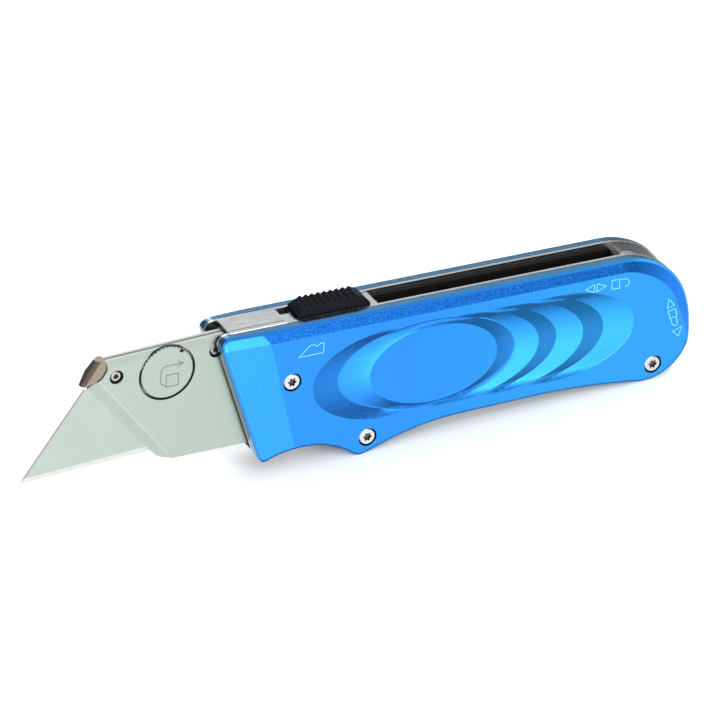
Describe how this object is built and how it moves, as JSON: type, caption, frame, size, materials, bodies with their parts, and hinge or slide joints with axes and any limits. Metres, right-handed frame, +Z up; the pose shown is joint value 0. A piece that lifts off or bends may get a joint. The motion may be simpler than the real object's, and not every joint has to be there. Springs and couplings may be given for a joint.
{
  "type": "utility knife",
  "caption": "Retractable utility knife: folded steel frame between sculpted blue scales, sliding blade carrier with thumb slider, lock wheel and trapezoid blade.",
  "frame": {"origin": "centre of the whole knife's bounding box with the blade out, on the handle's middle plane", "axes": "+X along the slide towards the tail, the blade points to -X; +Y across the thickness towards the right scale; +Z up, towards the thumb slider"},
  "size_m": [0.1564, 0.0134, 0.037],
  "materials": {
    "blue_anodised": "satin metallic blue, anodised",
    "liner_steel": "brushed",
    "dark_steel": "brushed, darker",
    "carrier_steel": "fine satin",
    "blade_steel": "ground and polished",
    "nose_bronze": "brown anodised, glossy",
    "screw_steel": "bright plated",
    "spring_steel": "plain",
    "guide_brass": "plain",
    "magnet_black": "dark plated",
    "black_plastic": "moulded, matte"
  },
  "bodies": {
    "handle": {"left_scale": "blue_anodised", "right_scale": "blue_anodised", "left_liner": "liner_steel", "right_liner": "liner_steel", "left_track": "black_plastic", "right_track": "black_plastic", "front_spacer": "black_plastic", "lobe_spacer": "black_plastic", "tail_spacer": "dark_steel", "standoffs": "liner_steel", "left_screws": "screw_steel", "right_screws": "screw_steel"},
    "carriage": {"carrier_left_plate": "carrier_steel", "carrier_right_plate": "carrier_steel", "carrier_core": "dark_steel", "nose_block": "nose_bronze", "carrier_screws": "screw_steel", "guide_pins": "guide_brass", "slide_strip": "liner_steel", "strip_rivets": "screw_steel", "blade_magnet": "magnet_black", "button_springs": "spring_steel"},
    "slider": {"thumb_slider": "black_plastic", "lock_bar": "dark_steel", "lock_pin": "screw_steel"},
    "wheel": {"lock_wheel": "carrier_steel", "cam_washer": "spring_steel"},
    "blade": {"blade": "blade_steel"}
  },
  "joints": [
    {"name": "carriage_slide", "type": "slide", "parent": "handle", "child": "carriage", "axis": [1, 0, 0], "range_m": [0, 0.056]},
    {"name": "slider_press", "type": "slide", "parent": "carriage", "child": "slider", "axis": [0, 0, -1], "range_m": [0, 0.0005], "stiffness_N_per_m": 300, "springref_m": -0.0015, "deforming": ["button_springs"]},
    {"name": "wheel_turn", "type": "hinge", "parent": "carriage", "child": "wheel", "pos_m": [-0.0458, 0, 0.00856], "axis": [0, 1, 0], "range_deg": [0, 90]},
    {"name": "blade_pull", "type": "slide", "parent": "carriage", "child": "blade", "axis": [-0.9982, 0, -0.0598], "range_m": [0, 0.03]}
  ]
}
